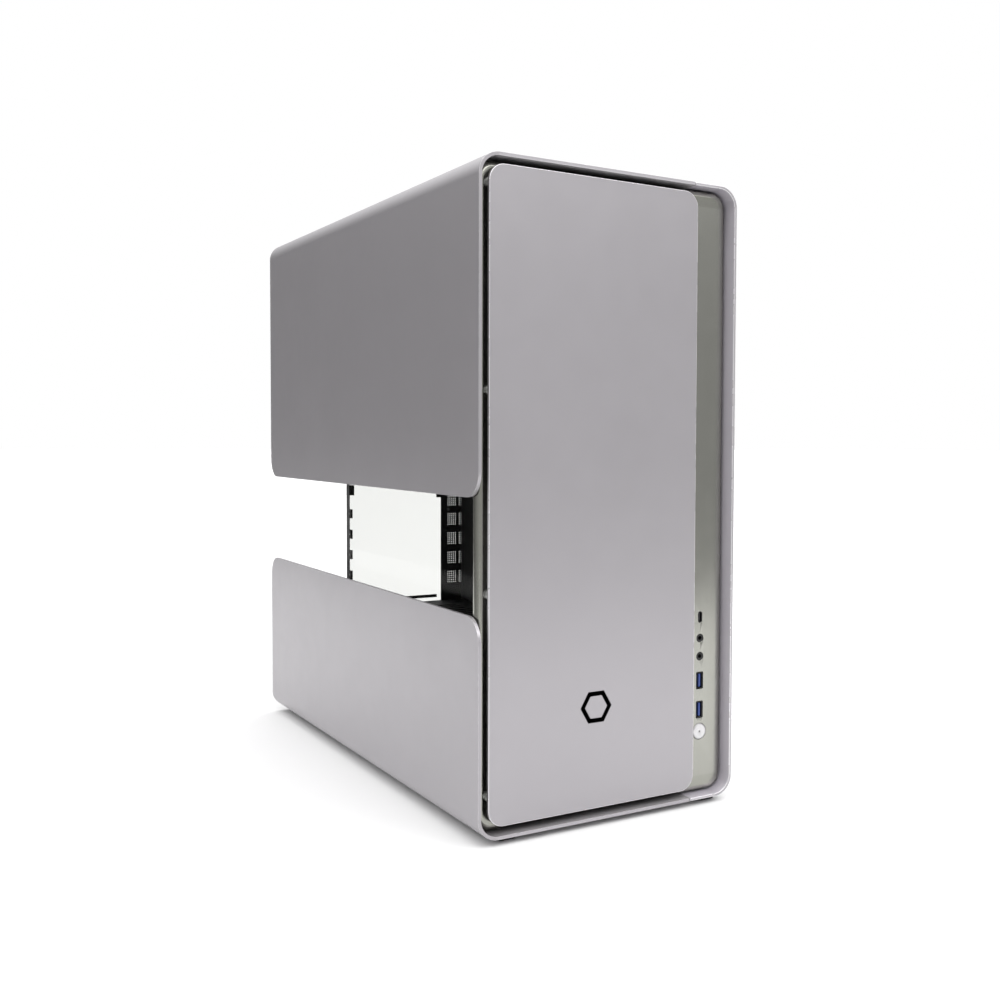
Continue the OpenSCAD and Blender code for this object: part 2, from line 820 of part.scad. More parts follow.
// Places of the fans, with +Z of their own turned to the way the air goes
module at_front_fan(k) {
  in_sleeve() translate([front_fan_x, frame_back, vent_z[k]]) rotate([-90, 0, 0]) children();
}

module at_rear_fan() {
  in_sleeve() translate([rear_fan_x, rear_y - rear_fan_t, rear_fan_z]) rotate([-90, 0, 0]) children();
}

module at_psu_fan() {
  in_sleeve() translate([psu_mid_x, psu_fan_y, psu_z + psu_wall]) children();
}

module at_cpu_fan() {
  in_sleeve() translate([cooler_x, cooler_y, cooler_z]) rotate([0, 90, 0]) children();
}

module front_fan_frame(k) {
  color(black_plastic) at_front_fan(k) fan_frame(front_fan, front_fan_pitch, front_fan_t);
}

module front_fan_rotor(k) {
  color(black_plastic) at_front_fan(k) fan_rotor(front_fan, front_fan_t, 7);
}

module rear_fan_frame() {
  color(black_plastic) at_rear_fan() fan_frame(rear_fan, rear_fan_pitch, rear_fan_t);
}

module rear_fan_rotor() {
  color(black_plastic) at_rear_fan() fan_rotor(rear_fan, rear_fan_t, 7);
}

module psu_fan_frame() {
  color(black_plastic) at_psu_fan() fan_frame(psu_fan, front_fan_pitch, front_fan_t);
}

module psu_fan_rotor() {
  color(black_plastic) at_psu_fan() fan_rotor(psu_fan, front_fan_t, 9);
}

module cpu_fan_rotor() {
  color(black_plastic) at_cpu_fan() fan_rotor(cooler_size, cpu_fan_t, 7);
}

// Power supply case, open inside, with its fan opening below
module psu_case() {
  w = psu_wall;
  color(black_steel) in_sleeve() difference() {
    block([psu_x, psu_y, psu_z], [psu_x + psu_w, rear_y, psu_z + psu_h]);
    block([psu_x + w, psu_y + w, psu_z + w], [psu_x + psu_w - w, rear_y - w, psu_z + psu_h - w]);
    translate([psu_mid_x, psu_fan_y, psu_z - cut]) cylinder(r = psu_fan / 2 - 2, h = w + 2 * cut);
    along_y(rear_y - w - cut, w + 2 * cut) {
      sheet(inlet_x - inlet_w / 2, inlet_z - inlet_h / 2, inlet_x + inlet_w / 2, inlet_z + inlet_h / 2);
      sheet(rocker_x - 7.4, rocker_z - 10.4, rocker_x + 7.4, rocker_z + 10.4);
      for (x = [psu_x + 58:9:psu_x + 136], z = [psu_z + 12:13:psu_z + 66])
        translate([x, z]) circle(r = 3.4, $fn = 6);
    }
    along_y(psu_y - cut, w + 2 * cut) for (x = [psu_x + 24, psu_x + 64, psu_x + 104])
      sheet(x, psu_mid_z - 8, x + 28, psu_mid_z + 8);
  }
}

// Wire guard: three rings on two cross wires
module psu_guard() {
  color(bright_steel) in_sleeve() translate([psu_mid_x, psu_fan_y, psu_z - 0.7]) {
    for (r = [20, 38, 56]) rotate_extrude() translate([r, 0]) circle(r = 0.8);
    for (a = [45, 135]) rotate(a) block([-63, -0.8, -0.7], [63, 0.8, 0.7]);
  }
}

// Board of the power supply, with its transformer, heat sinks, capacitors and output sockets
module psu_board() {
  z0 = psu_z + 32;
  y0 = psu_y + psu_wall;
  color(pcb_black) in_sleeve() {
    block([psu_x + psu_wall, y0, z0], [psu_x + psu_w - psu_wall, rear_y - 26, z0 + 1.6]);
    block([psu_x + 50, psu_y + 50, z0 + 1.6], [psu_x + 86, psu_y + 84, z0 + 32]);
    block([psu_x + 20, psu_y + 24, z0 + 1.6], [psu_x + 24, psu_y + 104, z0 + 40]);
    block([psu_x + 110, psu_y + 24, z0 + 1.6], [psu_x + 114, psu_y + 104, z0 + 40]);
    for (y = [psu_y + 20, psu_y + 44])
      translate([psu_x + 130, y, z0 + 1.6]) cylinder(r = 8, h = 34);
    for (x = [psu_x + 24, psu_x + 64, psu_x + 104]) {
      block([x + 0.5, y0, z0 + 1.6], [x + 27.5, y0 + 12, psu_mid_z + 7.5]);
      block([x + 1, psu_y, psu_mid_z - 7.5], [x + 27, y0 + cut, psu_mid_z + 7.5]);
    }
  }
}

// Mains inlet: a shrouded block with three blades
module psu_inlet() {
  y0 = rear_y - 24;
  color(black_plastic) in_sleeve() {
    difference() {
      along_y(y0, 24) panel(inlet_x - 13.3, inlet_z - 9.8, inlet_x + 13.3, inlet_z + 9.8, 2);
      along_y(rear_y - 17, 17 + cut) panel(inlet_x - 12, inlet_z - 8, inlet_x + 12, inlet_z + 8, 3);
    }
    for (x = [-7, 0, 7])
      block([inlet_x + x - 1, rear_y - 18, inlet_z - 2 + (x == 0 ? 2 : -2)],
            [inlet_x + x + 1, rear_y - 4, inlet_z + 2 + (x == 0 ? 2 : -2)]);
    block([inlet_x - 6, y0 + 6, rocker_z + 10], [inlet_x + 6, y0 + 9, inlet_z - 9.5]);
    difference() {
      along_y(y0 + 6, 18) sheet(rocker_x - 7.3, rocker_z - 10.3, rocker_x + 7.3, rocker_z + 10.3);
      along_y(y0 + 7.5, 18) sheet(rocker_x - 6.5, rocker_z - 9.6, rocker_x + 6.5, rocker_z + 9.6);
    }
  }
}

// Rocker of the mains switch, tipped to its off side
module psu_switch() {
  color(black_plastic) in_sleeve() translate([rocker_x - rocker_w / 2, rear_y - 7.5, rocker_z])
    rotate([-rocker_tilt, 0, 0]) {
      along_x(0, rocker_w) difference() {
        intersection() {
          circle(r = rocker_r);
          sheet(-6, -rocker_r, 7.5, rocker_r);
        }
        polygon([[9, -9.5], [9, 9.5], [7.2, 9.5], [5.2, 0], [7.2, -9.5]]);
      }
      rod_x(-0.45, 0, 0, 1, rocker_w + 0.9);
    }
}

// Compact board, with its processor socket, card socket, power header and chip heat sinks
module main_board() {
  x0 = board_front_x;
  color(pcb_black) in_sleeve() difference() {
    union() {
      along_x(x0, board_t) sheet(board_y, board_z, board_y + board_size, board_z + board_size);
      block([x0 - 2, cooler_y - 22, cooler_z - 22], [x0, cooler_y + 22, cooler_z + 22]);
      block([x0 - 11, board_y + 56, board_z + 6], [x0, board_y + 145, board_z + 13.5]);
      block([x0 - 8, board_y + 4, board_z + 28], [x0, board_y + 10, board_z + 40]);
      block([x0 - 12, board_y + 4, board_z + 104], [x0, board_y + 14, board_z + 156]);
      block([x0 - 16, board_y + 44, board_z + 24], [x0, board_y + 84, board_z + 46]);
      block([x0 - 28, board_y + 70, board_z + 146], [x0, board_y + 120, board_z + 162]);
      for (y = [board_y + 19, board_y + 29])
        block([x0 - 6, y, board_z + 18], [x0, y + 6.5, board_z + 158]);
    }
    for (y = [board_hole_in, board_size - board_hole_in], z = [board_hole_in, board_size - board_hole_in])
      rod_x(x0 - cut, board_y + y, board_z + z, 2, board_t + 2 * cut);
  }
}

// Hexagonal brass pillars between tray and board, with a screw head on each
module board_standoffs() {
  color([0.7, 0.55, 0.25]) in_sleeve()
    for (y = [board_hole_in, board_size - board_hole_in], z = [board_hole_in, board_size - board_hole_in]) {
      translate([board_front_x + board_t, board_y + y, board_z + z]) rotate([0, 90, 0])
        cylinder(r = 3.4, h = board_gap, $fn = 6);
      rod_x(board_front_x - 2, board_y + y, board_z + z, 3, 2);
      rod_x(board_front_x - 0.5, board_y + y, board_z + z, 1.4, board_t + 1);
    }
}

// Shielded socket blocks at the board's rear edge
module rear_io_ports() {
  color(bright_steel) in_sleeve() for (k = [0:4]) difference() {
    block([board_front_x - 30, board_y + 148, board_z + 12 + 30 * k],
          [board_front_x, rear_y + 0.6, board_z + 34 + 30 * k]);
    block([board_front_x - 27, board_y + 158, board_z + 14.5 + 30 * k],
          [board_front_x - 17, rear_y + 2, board_z + 31.5 + 30 * k]);
    block([board_front_x - 13, board_y + 158, board_z + 14.5 + 30 * k],
          [board_front_x - 4, rear_y + 2, board_z + 31.5 + 30 * k]);
  }
}

module memory_modules() {
  color(black_plastic) in_sleeve() for (y = [board_y + 21, board_y + 31])
    block([board_front_x - 36, y, board_z + 21], [board_front_x - 6, y + 3, board_z + 154]);
}

// Low cooler: base, fins and the fan's frame in one mount, the fan facing left
module cpu_cooler() {
  x1 = board_front_x - 2;
  x0 = cooler_x + cpu_fan_t;
  half = cooler_size / 2;
  color([0.62, 0.63, 0.65]) in_sleeve() {
    block([x1 - 5, cooler_y - 24, cooler_z - 24], [x1, cooler_y + 24, cooler_z + 24]);
    for (k = [-10:10])
      block([x0, cooler_y - half + 4, cooler_z + k * 4.2 - 0.5],
            [x1 - 6, cooler_y + half - 4, cooler_z + k * 4.2 + 0.5]);
    for (y = [-24, 0, 24])
      block([x1 - 9, cooler_y + y - 4, cooler_z - half + 3], [x1 - 4, cooler_y + y + 4, cooler_z + half - 3]);
  }
  color([0.62, 0.63, 0.65]) at_cpu_fan() fan_frame(cooler_size, cooler_size - 9.5, cpu_fan_t);
}

// Plate behind the tray that holds two drives
module drive_bracket() {
  x0 = tray_x + steel_t;
  color(black_steel) in_sleeve() {
    along_x(x0 + 6, 1.2) difference() {
      panel(176, 150, 266, 350, 4);
      panel(196, 172, 246, 232, 6);
      panel(196, 268, 246, 328, 6);
    }
    for (y = [184, 258], z = [158, 342]) rod_x(x0, y, z, 4, 6);
  }
}

module solid_state_drives() {
  x0 = tray_x + steel_t + 7.2;
  color([0.2, 0.2, 0.21]) in_sleeve() for (z = [152, 252])
    along_x(x0, 7) panel(186, z, 256, z + 96, 2);
}

// Leads that stay inside the chassis
panel_cable_points = [
  [205, io_board_y + io_board_t + 7, 72], [205, 46, 72], [205, 52, 72], [188, 72, 110], [172, 110, 220],
  [164, 142, 292], [158, 154, 312], [148, 156, 314], [141, 164, 306], [140, 178, 296],
  [140, board_y - 6, 296], [140, board_y - 1, 296], [140, board_y + 4, 296]
];
power_cable_points = [
  [psu_x + 118, psu_y, psu_mid_z], [psu_x + 118, psu_y - 7, psu_mid_z], [psu_x + 118, psu_y - 14, psu_mid_z],
  [170, 176, 84], [184, 170, 116], [186, 170, 140], [184, 162, 220], [174, 156, 330], [163, 154, 388],
  [150, 154, 402], [140, 160, 400], [138, 174, 392], [138, board_y - 8, 392], [138, board_y - 2, 392],
  [138, board_y + 4, 392]
];

module panel_cable() {
  color(black_plastic) in_sleeve() tube(spline(panel_cable_points, 4), 1.8, 8, [1, 0.2, -0.6]);
}

module board_power_cable() {
  color(black_plastic) in_sleeve() tube(spline(power_cable_points, 4), 4.5, 10, [1, 0.2, -0.6]);
}

// Screw with its head outside a face at y0, pointing back (way 1) or forward (way -1)
module screw_y(x, z, y0, way, head_r, shank_r, length) {
  translate([x, y0, z]) rotate([-90 * way, 0, 0]) {
    difference() {
      translate([0, 0, -2]) cylinder(r = head_r, h = 2);
      for (a = [0, 90]) rotate(a) block([-head_r * 0.6, -0.5, -3], [head_r * 0.6, 0.5, -1]);
    }
    translate([0, 0, -0.5]) cylinder(r = shank_r, h = length + 0.5);
  }
}

module case_screws() {
  color(bright_steel) in_sleeve() {
    for (sx = [-1, 1], sz = [-1, 1]) {
      screw_y(rear_fan_x + sx * rear_fan_pitch / 2, rear_fan_z + sz * rear_fan_pitch / 2, rear_back, -1,
              3.6, 1.9, 10);
      screw_y(psu_mid_x + sx * psu_screw_x, psu_mid_z + sz * psu_screw_z, rear_back, -1, 3.6, 1.9, steel_t);
    }
    for (z = vent_z, sx = [-1, 1], sz = [-1, 1])
      screw_y(front_fan_x + sx * front_fan_pitch / 2, z + sz * front_fan_pitch / 2,
              frame_back + front_fan_t, -1, 3.4, 1.9, front_fan_t + steel_t);
    screw_y(rivet_x, rivet_z, rear_y, 1, rivet_r, rivet_r - 0.4, steel_t);
  }
}

shell_upper_left();
shell_lower_left();
shell_right();
front_bezel();
front_plate();
plate_standoffs();
front_emblem();
feet();
fixed_rails();
slide_rails();
slide_tracks();
side_spacers();
power_button();
button_spring();
button_switch();
io_board();
usb_c_port();
audio_jacks();
usb_a_shells();
usb_a_tongues();
front_frame();
rear_panel();
card_retainer();
board_tray();
shelf();
floor_panel();
roof_panel();
right_cover();
lower_skirt();
side_glass();
glass_channels();
front_filter();
bottom_filter();
filter_runners();
front_fan_frame(0);  // front_fan_frame_1
front_fan_frame(1);  // front_fan_frame_2
front_fan_frame(2);  // front_fan_frame_3
front_fan_rotor(0);  // front_fan_rotor_1
front_fan_rotor(1);  // front_fan_rotor_2
front_fan_rotor(2);  // front_fan_rotor_3
rear_fan_frame();
rear_fan_rotor();
psu_case();
psu_guard();
psu_fan_frame();
psu_fan_rotor();
psu_board();
psu_inlet();
psu_switch();
main_board();
board_standoffs();
rear_io_ports();
memory_modules();
cpu_cooler();
cpu_fan_rotor();
drive_bracket();
solid_state_drives();
panel_cable();
board_power_cable();
case_screws();
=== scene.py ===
import json
import math

import bmesh
import bpy
from mathutils import Matrix, Vector
from mathutils.geometry import tessellate_polygon


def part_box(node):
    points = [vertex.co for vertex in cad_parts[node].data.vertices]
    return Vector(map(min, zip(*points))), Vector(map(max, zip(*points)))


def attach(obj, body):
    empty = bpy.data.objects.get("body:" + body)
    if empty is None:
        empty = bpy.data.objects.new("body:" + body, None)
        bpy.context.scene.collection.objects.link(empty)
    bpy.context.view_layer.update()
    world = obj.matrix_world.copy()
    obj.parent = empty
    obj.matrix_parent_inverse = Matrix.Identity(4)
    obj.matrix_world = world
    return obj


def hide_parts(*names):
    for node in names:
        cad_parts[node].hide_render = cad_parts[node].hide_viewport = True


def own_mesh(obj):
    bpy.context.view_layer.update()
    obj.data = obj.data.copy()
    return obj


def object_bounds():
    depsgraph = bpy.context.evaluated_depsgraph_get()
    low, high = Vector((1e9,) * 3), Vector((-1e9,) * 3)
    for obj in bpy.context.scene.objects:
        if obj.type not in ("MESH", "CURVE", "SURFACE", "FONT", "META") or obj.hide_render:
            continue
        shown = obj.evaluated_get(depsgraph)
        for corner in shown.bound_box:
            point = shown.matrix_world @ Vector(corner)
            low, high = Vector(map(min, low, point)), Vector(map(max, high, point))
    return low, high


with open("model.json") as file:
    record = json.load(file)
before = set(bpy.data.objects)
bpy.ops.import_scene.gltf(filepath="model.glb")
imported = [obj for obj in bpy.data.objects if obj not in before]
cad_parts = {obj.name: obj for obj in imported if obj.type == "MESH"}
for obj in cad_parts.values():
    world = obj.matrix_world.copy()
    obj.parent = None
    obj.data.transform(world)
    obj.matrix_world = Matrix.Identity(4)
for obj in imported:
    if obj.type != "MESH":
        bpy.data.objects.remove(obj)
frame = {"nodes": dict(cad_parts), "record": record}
cad_low, cad_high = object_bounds()

MM = 0.001
ARC_STEPS = 20                  # segments in a quarter circle of the large shapes
SMALL_ARC_STEPS = 8             # segments in a quarter circle of the small ones

# The sleeve
SHEET = 2.5 * MM
CORNER_R = 17 * MM
FREE_CORNER_R = 20 * MM         # corners beside the slot
EDGE = 0.45 * MM                # softened edge of the sheet

# The front plate
PLATE_CORNER_R = 13 * MM
PLATE_EDGE = 0.6 * MM

# The bezel
BEZEL_GAP = 1.2 * MM            # between it and the sleeve
BEZEL_EDGE_R = 5 * MM
BEZEL_WALL = 3 * MM
BEZEL_RIM = 6 * MM
CHAMFER = 0.3 * MM              # round each opening

# Air slots, nine abreast in front of each fan and under the power supply's
AIR_SLOTS = 9
AIR_SLOT_PITCH = 12 * MM
AIR_SLOT_SIZE = (5 * MM, 100 * MM)
AIR_SLOT_R = 2.4 * MM
FRONT_AIR_SLOT_X = 44 * MM      # first slot's middle, from the sleeve's left face
UNDER_AIR_SLOT_X = 68.5 * MM

# Openings in the bezel: width and height, then corner radius
BUTTON_HOLE = ((13.7 * MM, 13.7 * MM), 6.84 * MM)
JACK_HOLE = ((7 * MM, 7 * MM), 3.49 * MM)
USB_A_HOLE = ((7 * MM, 14.4 * MM), 1 * MM)
USB_C_HOLE = ((4 * MM, 9.6 * MM), 1.9 * MM)
JACK_HALF = 3.6 * MM            # from the end of the pair's box to the end socket's middle
USB_A_HALF = 6.6 * MM

# The button
BUTTON_R = 6.6 * MM
BUTTON_EDGE_R = 0.6 * MM
BUTTON_GROOVE_R = 6.0 * MM
BUTTON_GROOVE_W = 0.3 * MM
BUTTON_GROOVE_DEPTH = 0.5 * MM
BUTTON_PIT_R = 0.75 * MM        # small hole in its middle
BUTTON_PIT_DEPTH = 2.4 * MM
BUTTON_FLANGE_R = 7.8 * MM
BUTTON_FLANGE_SETBACK = 3.7 * MM
BUTTON_FLANGE_T = 1.2 * MM
BUTTON_STEM_R = 1.5 * MM

# The feet
FOOT_W = 17 * MM
FOOT_L = 34 * MM
FOOT_CORNER_R = 4 * MM
FOOT_EDGE_R = 0.9 * MM
FOOT_IN_SHEET = 1.9 * MM        # how far its top reaches into the sheet

SLOT_OF = {s["node"]: s["material_slot"] for s in frame["record"]["subparts"]}
BODY_OF = {n: b for b, ns in frame["record"]["behaviour"]["bodies"].items() for n in ns}


# ---------------------------------------------------------------- materials

def shader(name):
    """A new material, its node tree's two lists, and its Principled shader."""
    mat = bpy.data.materials.new(name)
    mat.use_nodes = True
    nodes, links = mat.node_tree.nodes, mat.node_tree.links
    return mat, nodes, links, nodes["Principled BSDF"]


def noise(nodes, links, scale, detail=2.0, roughness=0.5, stretch=(1, 1, 1)):
    """Noise in the object's own metres, stretched along an axis where asked."""
    place = nodes.new("ShaderNodeTexCoord")
    mapping = nodes.new("ShaderNodeMapping")
    mapping.inputs["Scale"].default_value = stretch
    tex = nodes.new("ShaderNodeTexNoise")
    tex.inputs["Scale"].default_value = scale
    tex.inputs["Detail"].default_value = detail
    tex.inputs["Roughness"].default_value = roughness
    links.new(place.outputs["Object"], mapping.inputs["Vector"])
    links.new(mapping.outputs["Vector"], tex.inputs["Vector"])
    return tex.outputs["Fac"]


def remap(nodes, links, source, low, high, from_low=0.3, from_high=0.7):
    """Source, clamped and moved from one range to another."""
    node = nodes.new("ShaderNodeMapRange")
    node.inputs["From Min"].default_value = from_low
    node.inputs["From Max"].default_value = from_high
    node.inputs["To Min"].default_value = low
    node.inputs["To Max"].default_value = high
    links.new(source, node.inputs["Value"])
    return node.outputs["Result"]


def blend_colour(nodes, links, factor, first, second):
    """Mix of two colours, either of which may be a socket."""
    mix = nodes.new("ShaderNodeMix")
    mix.data_type = "RGBA"
    links.new(factor, mix.inputs["Factor"])
    for socket, value in ((mix.inputs["A"], first), (mix.inputs["B"], second)):
        if isinstance(value, tuple):
            socket.default_value = (*value, 1)
        else:
            links.new(value, socket)
    return mix.outputs["Result"]


def worn_edges(nodes, links, colour, bare, amount):
    """Convex edges turn towards the bare colour."""
    geometry = nodes.new("ShaderNodeNewGeometry")
    edge = remap(nodes, links, geometry.outputs["Pointiness"], 0, amount, 0.52, 0.62)
    return blend_colour(nodes, links, edge, colour, bare)


def bump(nodes, links, bsdf, height, strength, distance):
    node = nodes.new("ShaderNodeBump")
    node.inputs["Strength"].default_value = strength
    node.inputs["Distance"].default_value = distance
    links.new(height, node.inputs["Height"])
    links.new(node.outputs["Normal"], bsdf.inputs["Normal"])


def finish(name, colour, metallic, roughness, grain, depth, spread=0.03, variety=0.05, bare=None, wear=0.5,
           stretch=(1, 1, 1)):
    """A surface with fine grain, patches of slightly different gloss and colour, and bare edges.

    grain and depth are the bump's scale and height, and stretch pulls the grain along an axis. spread is how far
    the roughness varies, and variety is the share that the colour varies by. bare and wear are the colour of
    worn edges and its strength.
    """
    mat, nodes, links, bsdf = shader(name)
    bsdf.inputs["Metallic"].default_value = metallic
    patch = noise(nodes, links, 14, 3)
    lighter = tuple(min(1, c * (1 + variety)) for c in colour)
    darker = tuple(c * (1 - variety) for c in colour)
    tone = blend_colour(nodes, links, remap(nodes, links, patch, 0, 1), darker, lighter)
    if bare:
        tone = worn_edges(nodes, links, tone, bare, wear)
    links.new(tone, bsdf.inputs["Base Color"])
    gloss = noise(nodes, links, 55, 2)
    links.new(remap(nodes, links, gloss, roughness - spread, roughness + spread), bsdf.inputs["Roughness"])
    bump(nodes, links, bsdf, noise(nodes, links, grain, 2, 0.6, stretch), 0.5, depth)
    return mat


def clear_glass():
    mat, nodes, links, bsdf = shader("clear_glass")
    bsdf.inputs["Base Color"].default_value = (0.67, 0.675, 0.66, 1)
    bsdf.inputs["Transmission Weight"].default_value = 1
    bsdf.inputs["IOR"].default_value = 1.05
    smear = noise(nodes, links, 9, 3)
    links.new(remap(nodes, links, smear, 0.0, 0.03), bsdf.inputs["Roughness"])
    return mat


ANODISED = finish("anodised_aluminium", (0.355, 0.34, 0.358), 0.5, 0.33, 2600, 0.00002, 0.02, 0.012,
                  (0.6, 0.585, 0.61), 0.5)
# Painted light: the right panel's inside face is the same anodised aluminium as its outside, painted about twice
# as light and less metallic to stand in for light falling on it from the front left
PAINTED_LIGHT_INNER_ANODISED = finish("anodised_aluminium_inside_painted_light", (0.60, 0.57, 0.63), 0.35, 0.33, 2600, 0.00002, 0.02, 0.012)
CUT_EDGE = finish("cut_aluminium_edge", (0.78, 0.765, 0.79), 0.6, 0.28, 1800, 0.00001, 0.03, 0.02)
BEZEL = finish("bezel_aluminium", (0.33, 0.33, 0.297), 1.0, 0.2, 2600, 0.00002, 0.02, 0.02,
               (0.7, 0.7, 0.68), 0.4)
STEEL_PAINT = finish("black_steel_paint", (0.006, 0.006, 0.0065), 0.0, 0.5, 1500, 0.00005, 0.06, 0.15,
                     (0.07, 0.07, 0.07), 0.5)
PLASTIC = finish("black_plastic", (0.009, 0.009, 0.0095), 0.0, 0.55, 1300, 0.00006, 0.06, 0.12,
                 (0.05, 0.05, 0.05), 0.4)
RUBBER = finish("black_rubber", (0.010, 0.010, 0.010), 0.0, 0.75, 1100, 0.0001, 0.08, 0.15,
                (0.03, 0.03, 0.03), 0.3)
BRIGHT = finish("bright_steel", (0.55, 0.56, 0.58), 1.0, 0.3, 900, 0.00002, 0.06, 0.04,
                (0.8, 0.8, 0.82), 0.3, (1, 1, 12))
BLUE = finish("blue_plastic", (0.006, 0.02, 0.14), 0.0, 0.35, 900, 0.00003, 0.05, 0.08,
              (0.1, 0.2, 0.6), 0.3)
WHITE_CAP = finish("button_cap", (0.62, 0.61, 0.62), 0.6, 0.35, 2200, 0.00002, 0.03, 0.02,
                   (0.8, 0.8, 0.8), 0.4)
BOARD = finish("circuit_board", (0.008, 0.014, 0.011), 0.0, 0.4, 700, 0.00006, 0.08, 0.2,
               (0.03, 0.05, 0.04), 0.3)
FINS = finish("heatsink_aluminium", (0.5, 0.51, 0.53), 1.0, 0.35, 1200, 0.00003, 0.05, 0.05,
              (0.8, 0.8, 0.8), 0.4, (1, 8, 1))
BRASS = finish("brass", (0.56, 0.40, 0.14), 1.0, 0.3, 900, 0.00002, 0.05, 0.06,
               (0.8, 0.65, 0.3), 0.4)
DARK_STEEL = finish("blackened_steel", (0.05, 0.05, 0.055), 1.0, 0.35, 1200, 0.00002, 0.05, 0.06,
                    (0.2, 0.2, 0.2), 0.3)
DRIVE = finish("drive_paint", (0.07, 0.07, 0.075), 0.3, 0.4, 1400, 0.00003, 0.05, 0.06,
               (0.3, 0.3, 0.3), 0.4)
GLASS = clear_glass()

FINISH_OF_SLOT = {
    "anodised_silver": ANODISED, "bezel_silver": BEZEL, "black_steel": STEEL_PAINT, "black_plastic": PLASTIC,
    "black_rubber": RUBBER, "bright_steel": BRIGHT, "circuit_board": BOARD, "socket_blue": BLUE,
    "button_cap": WHITE_CAP, "clear_glass": GLASS, "heatsink_aluminium": FINS, "brass_pillar": BRASS,
    "drive_grey": DRIVE,
}
FINISH_OF_NODE = {"usb_c_port": DARK_STEEL, "usb_a_shells": DARK_STEEL, "audio_jacks": PLASTIC}


def finish_of(node):
    return FINISH_OF_NODE.get(node, FINISH_OF_SLOT[SLOT_OF[node]])


# ---------------------------------------------------------------- making pieces

def piece(name, bm, node, sharp=30):
    """A new object from bm that takes the CAD node's place, body, slot and finish."""
    bmesh.ops.remove_doubles(bm, verts=bm.verts, dist=1e-7)
    bmesh.ops.recalc_face_normals(bm, faces=bm.faces)
    mesh = bpy.data.meshes.new(name)
    bm.to_mesh(mesh)
    bm.free()
    return place(name, mesh, node, sharp)


def place(name, mesh, node, sharp=30):
    for face in mesh.polygons:
        face.use_smooth = True
    mesh.set_sharp_from_angle(angle=math.radians(sharp))
    obj = bpy.data.objects.new(name, mesh)
    bpy.context.scene.collection.objects.link(obj)
    obj.data.materials.clear()
    obj.data.materials.append(finish_of(node))
    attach(obj, BODY_OF[node])
    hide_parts(node)
    return obj


def soften_edges(obj, width, segments=3, angle=40, edge_finish=None):
    """Rounds the edges sharper than angle, with a finish of their own where given."""
    mod = obj.modifiers.new("edges", "BEVEL")
    mod.width = width
    mod.segments = segments
    mod.limit_method = "ANGLE"
    mod.angle_limit = math.radians(angle)
    mod.use_clamp_overlap = True
    mod.face_strength_mode = "FSTR_ALL"
    if edge_finish:
        obj.data.materials.append(edge_finish)
        mod.material = len(obj.data.materials) - 1
    for edge in obj.data.edges:
        edge.use_edge_sharp = False
    flatten_normals(obj)


def flatten_normals(obj):
    """Normals follow the large faces, so that those stay flat beside their rounded edges."""
    normals = obj.modifiers.new("normals", "WEIGHTED_NORMAL")
    normals.weight = 100
    normals.keep_sharp = True
    normals.use_face_influence = any(m.type == "BEVEL" for m in obj.modifiers)


def arc(centre, r, start, end, steps):
    """Points and outward normals along an arc, angles in degrees from +X towards +Z."""
    out = []
    for i in range(steps + 1):
        a = math.radians(start + (end - start) * i / steps)
        n = Vector((math.cos(a), math.sin(a)))
        out.append((Vector(centre) + n * r, n))
    return out


def rounded_loop(centre, size, r, steps):
    """Closed outline of a rounded rectangle in X and Z, anticlockwise from its right side."""
    cx, cz = centre
    w, h = size[0] / 2 - r, size[1] / 2 - r
    loop = []
    for sx, sz, start in ((1, 1, 0), (-1, 1, 90), (-1, -1, 180), (1, -1, 270)):
        loop += [p for p, n in arc((cx + sx * w, cz + sz * h), r, start, start + 90, steps)]
    return loop


def ring(bm, loop, y):
    return [bm.verts.new((p.x, y, p.y)) for p in loop]


def bridge(bm, a, b):
    """Quads between two rings of the same length."""
    n = len(a)
    for i in range(n):
        corners = (a[i], a[(i + 1) % n], b[(i + 1) % n], b[i])
        if len({tuple(v.co) for v in corners}) > 2:
            bm.faces.new(corners)


def cut(obj, cutter):
    """Takes the cutter's shape out of obj and deletes the cutter."""
    mod = obj.modifiers.new("cut", "BOOLEAN")
    mod.operation = "DIFFERENCE"
    mod.solver = "EXACT"
    mod.object = cutter
    graph = bpy.context.evaluated_depsgraph_get()
    mesh = bpy.data.meshes.new_from_object(obj.evaluated_get(graph))
    obj.modifiers.remove(mod)
    old = obj.data
    obj.data = mesh
    bpy.data.meshes.remove(old)
    bpy.data.objects.remove(cutter)


def middle(node):
    low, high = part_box(node)
    return (low + high) / 2


# ---------------------------------------------------------------- the sleeve

def bent_sheet(stations, low_y, high_y):
    """Sheet along stations of (point, outward normal, how far its ends are drawn in)."""
    bm = bmesh.new()
    rows = []
    for p, n, drawn in stations:
        q = p - n * SHEET
        ys = (low_y + drawn, high_y - drawn)
        rows.append([bm.verts.new((a.x, y, a.y)) for a in (p, q) for y in ys])
    for (of, ob, nf, nb), (of2, ob2, nf2, nb2) in zip(rows, rows[1:]):
        bm.faces.new((of, of2, ob2, ob))
        bm.faces.new((nf, nb, nb2, nf2))
        bm.faces.new((of, nf, nf2, of2))
        bm.faces.new((ob, ob2, nb2, nb))
    for of, ob, nf, nb in (rows[0], rows[-1]):
        bm.faces.new((of, ob, nb, nf))
    return bm


def left_panel_stations(node, upward):
    """From the panel's free edge at the slot, round the corner, to the seam."""
    low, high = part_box(node)
    free, far = (low.z, high.z) if upward else (high.z, low.z)
    way = 1 if upward else -1
    left = Vector((-1, 0))
    stations = []
    for i in range(ARC_STEPS + 1):
        a = math.radians(90 * i / ARC_STEPS)
        along, drawn = FREE_CORNER_R * (1 - math.cos(a)), FREE_CORNER_R * (1 - math.sin(a))
        stations.append((Vector((low.x, free + way * along)), left, drawn))
    centre = (low.x + CORNER_R, far - way * CORNER_R)
    stations += [(p, n, 0) for p, n in arc(centre, CORNER_R, 180, 180 - way * 90, ARC_STEPS)]
    stations.append((Vector((high.x, far)), Vector((0, way)), 0))
    return stations


